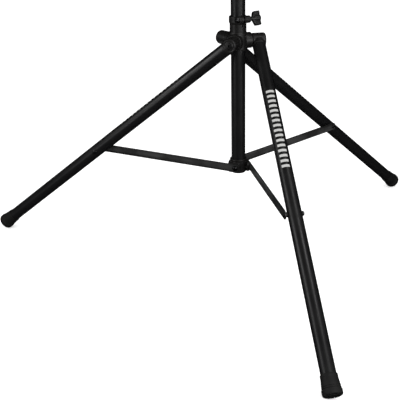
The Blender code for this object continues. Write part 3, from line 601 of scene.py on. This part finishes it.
def leg_print(station, place):
    """A row of plain bars printed along the leg's top: a neutral graphic in place of any lettering."""
    middle = centre_across(station, place)
    bars, first, pitch, length = 16, -176.0, 14.6, 7.0
    facing, reach, wide_reach, facets = -96.0, 33.0, 35.0, 12    # degrees round the leg
    inner = LEG_R + 0.06
    outer = inner + 0.08
    work = bmesh.new()
    for k in range(bars):
        top = first - pitch * k
        half = reach if k % 4 else wide_reach
        columns = []
        for j in range(facets + 1):
            t = math.radians(facing - half + 2 * half * j / facets)
            columns.append([
                [work.verts.new((r * math.cos(t), r * math.sin(t), z)) for r in (inner, outer)]
                for z in (top, top - length)
            ])
        for left, right in zip(columns, columns[1:]):
            work.faces.new((left[0][1], left[1][1], right[1][1], right[0][1]))
            work.faces.new((left[0][0], right[0][0], right[1][0], left[1][0]))
            work.faces.new((left[0][0], left[0][1], right[0][1], right[0][0]))
            work.faces.new((left[1][0], right[1][0], right[1][1], left[1][1]))
        for end in (columns[0], columns[-1]):
            work.faces.new((end[0][0], end[0][1], end[1][1], end[1][0]))
    put(f"leg_plain_bars_{station}", mesh_from(work), place @ at(middle * MM), f"leg_{station}", [],
        "tube", 30, print_ink)


def legs():
    for station in STATIONS:
        place = leg_frame(station)
        leg_tube(station, place)
        knuckle(station, place)
        foot(station, place)
        cap_nut(station, place)
        leg_print(station, place)


# Sliding collar

def collar_casting():
    """The tripod collar: a sleeve, three hinge arms, a split clamp band with its two lugs."""
    base = station_frame("leg", "front").translation.z / MM
    low, _ = span("collar_housing", at(z=base * MM))
    body_r, neck_r, band_r, top = 23.55, 21.95, 24.0, 64.55
    inner = BORE_R - 1.0
    parts = [turned([
        (inner, low.z), (body_r - 0.6, low.z, 0.9), (body_r, low.z + 1.2), (body_r, 20.2, 1.2),
        (neck_r, 22.4, 1.2), (neck_r, top - 18.2, 1.0), (band_r, top - 16.0, 1.0), (band_r, top - 1.0, 0.7),
        (band_r - 1.1, top, 0.5), (inner, top),
    ])]
    reach = span("hinge_washer_front", station_frame("leg", "front") @ ALONG_X)[0].z - TOUCH_GAP
    arm_outline = [
        (0, inner), (21.0, inner), (20.4, 24.0, 2.0), (20.0, 27.5), (20.0, reach, 0.9), (0, reach),
    ]
    for station in STATIONS:
        turn = station_frame("leg", station).to_3x3().to_4x4()
        arm = turned(arm_outline, ROUND, 0.6)
        parts.append(moved(arm, turn @ ALONG_X))
        rib = plate(round_box(-22.0, -8.0, -2.2, 2.2, 2.0), inner, 33.0, 0.8)
        parts.append(moved(rib, turn @ Matrix.Rotation(math.pi / 2, 4, "Y")))
    parts += lugs(clamp_frame("collar"), base)
    body = cast(parts, 0.75, 4)
    tools = [rod(BORE_R, low.z - 2, 75.0), rod(BORE_R + 2.3, low.z - 2, low.z + 12.3)]
    tools += clamp_cuts(clamp_frame("collar"), base, top - 26.0, 75.0)
    for station in STATIONS:
        turn = station_frame("leg", station).to_3x3().to_4x4()
        tools.append(moved(rod(HINGE_HOLE_R, 23.85, 40.0, 64), turn @ ALONG_X))
    place = at(z=base * MM)
    put("collar_casting", cut(body, *tools), place, "collar", ["collar_housing"], "casting", 40)


def lugs(clamp, base):
    """The round lug on each side of a clamp's slot, with a flat web to the sleeve."""
    local = at(0, 0, -base) @ at(*(clamp.translation / MM)) @ clamp.to_3x3().to_4x4()
    boss_outline = [(0, -BOSS_SHORT), (9.5, -BOSS_SHORT, 1.1), (9.5, BOSS_LONG, 1.3), (0, BOSS_LONG)]
    boss = turned(boss_outline, ROUND, 0.6)
    web = plate(round_box(-8.0, 8.0, -12.0, 6.0, 2.0), -BOSS_SHORT + 2.0, BOSS_LONG - 4.0, 0.8)
    turn = Matrix(((0, 0, 1, 0), (0, -1, 0, 0), (1, 0, 0, 0), (0, 0, 0, 1)))
    return [moved(boss, local @ ALONG_X), moved(web, local @ at(0, 6.0, 0) @ turn)]


def clamp_cuts(clamp, base, slot_bottom, slot_top):
    """The slot, the screw's hole and the nut's spot face."""
    flat = clamp.to_3x3().to_4x4()
    local = at(0, 0, -base) @ at(*(clamp.translation / MM)) @ flat
    slot = moved(plate([(-2, -40), (2, -40), (2, -9), (-2, -9)], slot_bottom, slot_top), flat)
    hole = moved(rod(BOLT_HOLE_R, -BOSS_SHORT - 2, BOSS_LONG + 2, 48), local @ ALONG_X)
    seat = moved(rod(7.85, -BOSS_SHORT - 13, 0.3 - BOSS_SHORT, 64), local @ ALONG_X)
    return [slot, seat, hole]


def collar_bush():
    low, high = span("collar_bush", Matrix())
    mesh = turned([
        (BORE_R + 2.0, low.z + 0.2, 0.4), (BORE_R + 2.0, high.z, 0.5), (BORE_R, high.z, 0.5),
        (BORE_R, low.z + 0.2, 0.6),
    ])
    put("collar_bush_ring", mesh, Matrix(), "collar", ["collar_bush"], "plastic")


def hinge_hardware():
    """Socket-head bolts and nylon washers that hold the legs' knuckles on the collar's arms."""
    for station in STATIONS:
        place = station_frame("leg", station) @ ALONG_X
        node = f"hinge_bolt_{station}"
        low, high = span(node, place)
        head = high.z - 6.0
        bolt = turned([
            (0, low.z), (5.0, low.z, 0.6), (5.0, head, 0.1), (7.95, head, 0.3), (7.95, high.z, 0.8),
            (0, high.z),
        ], 64, 0.4)
        bolt = cut(bolt, hexagon(4.2, high.z - 3.0, high.z + 1))
        put(f"hinge_socket_bolt_{station}", bolt, place, "collar", [node], "bolt")
        node = f"hinge_washer_{station}"
        low, high = span(node, place)
        washer = tube(15.0, HINGE_HOLE_R, low.z, high.z, 0.4)
        put(f"hinge_nylon_washer_{station}", washer, place, "collar", [node], "plastic")


# Clamps, shared by the collar and the column's top

def clamp_nut(clamp, body):
    node = f"{clamp}_clamp_nut"
    place = clamp_frame(clamp) @ ALONG_X
    low, high = span(node, place)
    blank = turned([
        (0, low.z), (4.3, low.z, 0.2), (5.6, low.z, 0.2), (5.9, low.z + 1.6, 0.4), (7.4, low.z + 2.0, 0.4),
        (7.5, high.z - 0.7, 0.4), (6.6, high.z, 0.3), (0, high.z),
    ], 96, 0.2)
    flats = moved(hexagon(7.5, low.z - 1, high.z + 1), Matrix.Rotation(math.pi / 6, 4, "Z"))
    nut = cut(blank, flats, operation="INTERSECT")
    nut = cut(nut, rod(4.25, low.z - 2, high.z + 2, 48))
    put(f"{clamp}_lock_nut", nut, place, body, [node], "bolt", 30)


def clamp_screw(clamp, body):
    """A plated screw with a real thread where it runs through the nut."""
    node = f"{clamp}_clamp_screw"
    place = knob_frame(clamp)
    low, high = span(node, place)
    outline = [(0, low.z), (3.2, low.z, 0.3), (3.9, low.z + 0.8, 0.2)]
    height = low.z + 1.4
    while height < low.z + 11.0:
        outline += [(3.95, height, 0.1), (3.5, height + 0.5, 0.1)]
        height += 1.0
    outline += [(3.95, height + 0.6, 0.2), (3.95, high.z), (0, high.z)]
    put(f"{clamp}_threaded_screw", turned(outline, 48, 0.2), place, body, [node], "bolt")


def clamp_knob(clamp, body):
    """A two-winged moulded knob: a waisted hub with finger wings that swell at their tips."""
    node = f"{clamp}_clamp_knob"
    place = knob_frame(clamp)
    low, high = span(node, place)
    start = low.z
    hub = turned([
        (0, start), (5.5, start, 0.4), (5.6, start + 3.8), (9.0, start + 11.5), (9.1, start + 25.0),
        (7.2, high.z - 0.3, 1.0), (3.0, high.z - 1.0, 0.6), (0, high.z - 1.0),
    ], 64, 0.8)
    outline = [
        (4.6, 4.4), (9.0, 6.2), (15.0, 8.6), (18.0, 10.6), (18.3, 13.0), (18.3, 24.6), (17.5, 26.4),
        (9.0, 27.0),
    ]
    outline += [(-x, y) for x, y in reversed(outline)]
    wings = plate(outline, -5.4, 5.4, 1.6, 4)
    stand = Matrix(((1, 0, 0, 0), (0, 0, -1, 0), (0, 1, 0, start), (0, 0, 0, 1)))
    parts = [hub, moved(wings, stand)]
    for side in (-1, 1):
        tip = plate(round_box(9.6, 18.3, 10.6, 26.5, 1.8), -6.9, 6.9, 1.4, 4)
        parts.append(moved(tip, Matrix.Diagonal((side, 1, 1, 1)) @ stand))
    knob = cast(parts, 0.55, 4)
    tools = [rod(BOLT_HOLE_R, start - 2, high.z - 7.1, 48)]
    for side in (-1, 1):
        for k in range(3):
            for face in (-1, 1):
                spot = at(side * (13.0 + 1.9 * k), face * 7.3, start + 19.5)
                tools.append(moved(rod(0.75, -4.2, 4.2, 24), spot))
    put(f"{clamp}_wing_knob", cut(knob, *tools), place, body, [node], "knob", 40)


def top_clamp():
    """The clamp on the column's top end that grips the pole."""
    low, high = span("top_clamp", Matrix())
    outer, inner = 23.4, BORE_R - 1.0
    parts = [turned([
        (inner, low.z), (outer - 0.9, low.z, 0.9), (outer, low.z + 1.4), (outer, low.z + 4.0, 0.5),
        (outer - 0.8, low.z + 5.0, 0.5),
        (outer - 0.8, high.z - 24.0, 0.6), (outer + 0.1, high.z - 22.6, 0.6),
        (outer + 0.1, high.z - 1.2, 0.9),
        (outer - 1.2, high.z, 0.6), (inner, high.z),
    ])]
    clamp = clamp_frame("top")
    parts += lugs(clamp, 0.0)
    body = cast(parts, 0.75, 4)
    tools = [rod(BORE_R, low.z - 2, high.z + 2)]
    tools += clamp_cuts(clamp, 0.0, low.z + 26.0, high.z + 12.0)
    put("top_clamp_casting", cut(body, *tools), Matrix(), "column", ["top_clamp"], "casting", 40)


def pole_bush():
    low, high = span("pole_bush", Matrix())
    ring = turned([
        (COLUMN_R, low.z), (COLUMN_R, high.z - 0.1), (POLE_R + 0.3, high.z - 0.1, 0.6), (POLE_R + 0.3, low.z),
    ])
    slit = plate([(-1.5, -30), (1.5, -30), (1.5, -8), (-1.5, -8)], low.z - 2, high.z + 2)
    ring = cut(ring, moved(slit, clamp_frame("top").to_3x3().to_4x4()))
    put("pole_split_bush", ring, Matrix(), "column", ["pole_bush"], "plastic")


def clamps():
    for clamp, nut_body in (("collar", "collar"), ("top", "column")):
        knob_body = f"{clamp}_knob"
        clamp_nut(clamp, nut_body)
        clamp_screw(clamp, knob_body)
        clamp_knob(clamp, knob_body)


# Pole

def pole():
    low, high = span("pole_tube", Matrix())
    mesh = tube(POLE_R, POLE_R - POLE_WALL, low.z, high.z)
    pin = centre("locking_pin").z / MM
    across = clamp_frame("top").to_3x3().to_4x4() @ ALONG_X
    for k in range(POLE_HOLES):
        hole = rod(3.5, -20, 20, 32)
        mesh = cut(mesh, moved(hole, at(z=pin - HOLE_PITCH * k) @ across))
    put("pole_round_tube", mesh, Matrix(), "pole", ["pole_tube"], "tube")
    low, high = span("pole_cap", Matrix())
    inner = POLE_R - POLE_WALL - 0.3
    cap = turned([
        (0, high.z - 0.6), (9.0, high.z - 0.6, 0.5), (10.0, high.z, 0.5), (POLE_R - 0.2, high.z, 1.4),
        (POLE_R, high.z - 5.0, 0.3), (inner, high.z - 5.0), (inner, low.z, 0.6), (inner - 2.2, low.z, 0.4),
        (inner - 2.2, high.z - 4.5), (0, high.z - 4.5),
    ])
    put("pole_end_cap", cap, Matrix(), "pole", ["pole_cap"], "plastic")
    low, high = span("pole_guide", Matrix())
    radius = 17.6
    guide = turned([
        (0, low.z), (radius - 0.6, low.z, 1.2), (radius, low.z + 2.0), (radius, low.z + 3.4, 0.3),
        (radius - 0.8, low.z + 3.9, 0.3), (radius - 0.8, low.z + 5.6, 0.3), (radius, low.z + 6.1, 0.3),
        (radius, low.z + 10.0, 0.5), (inner, low.z + 10.0),
        (inner, high.z, 0.6), (inner - 2.2, high.z, 0.4), (inner - 2.2, low.z + 9.5), (0, low.z + 9.5),
    ])
    put("pole_glide", guide, Matrix(), "pole", ["pole_guide"], "plastic")


def locking_pin():
    along = Vector(joint("pin_pull")["axis"]).normalized()
    place = axes(Vector((0, 0, centre("locking_pin").z)), Vector((0, 0, -1)), along)
    low, high = span("locking_pin", place)
    mesh = turned([
        (0, low.z), (1.6, low.z, 0.5), (3.2, low.z + 2.6, 0.6), (3.2, low.z + 4.4, 0.2),
        (2.8, low.z + 4.8, 0.2),
        (2.8, low.z + 5.4, 0.2), (3.2, low.z + 5.8, 0.2), (3.2, high.z), (0, high.z),
    ], 48, 0.2)
    put("locking_pin_turned", mesh, place, "pin", ["locking_pin"], "bolt")
    low, high = span("pin_grip", place)
    outline = [(3.5, low.z), (6.6, low.z, 0.8)]
    height = low.z + 2.6
    while height < high.z - 3.0:
        outline += [
            (7.0, height, 0.4), (7.0, height + 1.1, 0.4), (6.3, height + 1.5, 0.3), (6.3, height + 2.1, 0.3),
        ]
        height += 2.6
    outline += [
        (6.9, high.z - 1.6, 0.6), (6.0, high.z, 1.2), (0, high.z), (0, high.z - 6.0), (3.5, high.z - 6.0),
    ]
    put("pin_ribbed_grip", turned(outline, 64, 0.3), place, "pin", ["pin_grip"], "plastic")


# Studio

def floor_sheet(height):
    look = bpy.data.materials.new("studio_floor")
    look.use_nodes = True
    tree = look.node_tree
    shader = tree.nodes["Principled BSDF"]
    where = add(tree, "ShaderNodeTexCoord").outputs["Object"]
    tone = ranged(tree, noise(tree, where, 0.6, 3.0), 0.3, 0.7, 0.90, 0.92)
    tree.links.new(tone, shader.inputs["Base Color"])
    shader.inputs["Roughness"].default_value = 0.9
    shader.inputs["Specular IOR Level"].default_value = 0.0
    shader.inputs["Emission Color"].default_value = (1.0, 1.0, 1.0, 1.0)
    shader.inputs["Emission Strength"].default_value = 0.35
    work = bmesh.new()
    bmesh.ops.create_grid(work, x_segments=2, y_segments=2, size=30.0)
    sheet = bpy.data.objects.new("studio_floor", mesh_from(work))
    sheet.data.materials.append(look)
    sheet.location = (0, 0, height)
    bpy.context.scene.collection.objects.link(sheet)
    sheet.visible_glossy = False


def softbox(name, location, target, width, height, power, tint=(1.0, 1.0, 1.0)):
    light = bpy.data.lights.new(name, "AREA")
    light.shape = "RECTANGLE"
    light.size = width
    light.size_y = height
    light.energy = power
    light.color = tint
    holder = bpy.data.objects.new(name, light)
    bpy.context.scene.collection.objects.link(holder)
    holder.location = location
    holder.rotation_euler = (Vector(target) - Vector(location)).to_track_quat("-Z", "Y").to_euler()
    return holder


def studio():
    world = bpy.data.worlds.new("studio")
    bpy.context.scene.world = world
    world.use_nodes = True
    background = world.node_tree.nodes["Background"]
    background.inputs["Color"].default_value = (1.0, 1.0, 1.0, 1.0)
    background.inputs["Strength"].default_value = 1.0
    world.cycles_visibility.glossy = False
    softbox("right_strip", (1.75, -2.10, 0.45), (0, 0, 0.3), 0.40, 1.4, 9.0)
    softbox("left_strip", (-2.40, -0.95, 0.45), (0, 0, 0.3), 0.60, 1.4, 7.0)
    softbox("over_the_legs", (0.80, -0.90, 1.80), (0, -0.4, 0), 0.5, 0.5, 5.0)
    softbox("left_behind", (-1.70, -0.10, 0.90), (0, -0.4, 0), 0.6, 0.6, 4.8)
    softbox("front_strip", (0.53, -2.50, 0.90), (0, 0, 0.36), 1.2, 0.25, 20.0)
    softbox("low_behind", (-0.20, 0.95, -0.235), (-0.20, 0.95, 2.0), 1.4, 0.7, 1.1).visible_camera = False


def camera():
    """The view of the product picture: a little above the legs, looking down at the hub."""
    data = bpy.data.cameras.new("camera")
    data.sensor_width = 36.0
    data.lens = 77.99
    data.clip_end = 100.0
    holder = bpy.data.objects.new("camera", data)
    bpy.context.scene.collection.objects.link(holder)
    right = Vector((0.98786, -0.15414, -0.01918))
    back = Vector((-0.13557, -0.91586, 0.37793))
    holder.matrix_world = axes(Vector((-0.43614, -2.20918, 0.83410)), right, back)
    bpy.context.scene.camera = holder


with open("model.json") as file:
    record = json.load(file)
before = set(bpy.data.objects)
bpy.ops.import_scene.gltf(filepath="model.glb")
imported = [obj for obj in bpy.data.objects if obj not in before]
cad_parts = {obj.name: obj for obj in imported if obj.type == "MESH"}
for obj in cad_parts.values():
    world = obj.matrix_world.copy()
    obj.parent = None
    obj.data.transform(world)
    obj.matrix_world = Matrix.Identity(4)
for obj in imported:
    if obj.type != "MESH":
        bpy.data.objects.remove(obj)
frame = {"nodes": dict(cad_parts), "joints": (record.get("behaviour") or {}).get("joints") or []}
cad_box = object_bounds()
looks = make_looks()
print_ink = print_look()
bpy.context.scene.view_settings.view_transform = "Standard"
column_tube()
hub_casting()
hub_cap()
pivot_bolts()
struts()
legs()
collar_casting()
collar_bush()
hinge_hardware()
clamps()
top_clamp()
pole_bush()
pole()
locking_pin()
floor_sheet(cad_box[0].z)
studio()
camera()
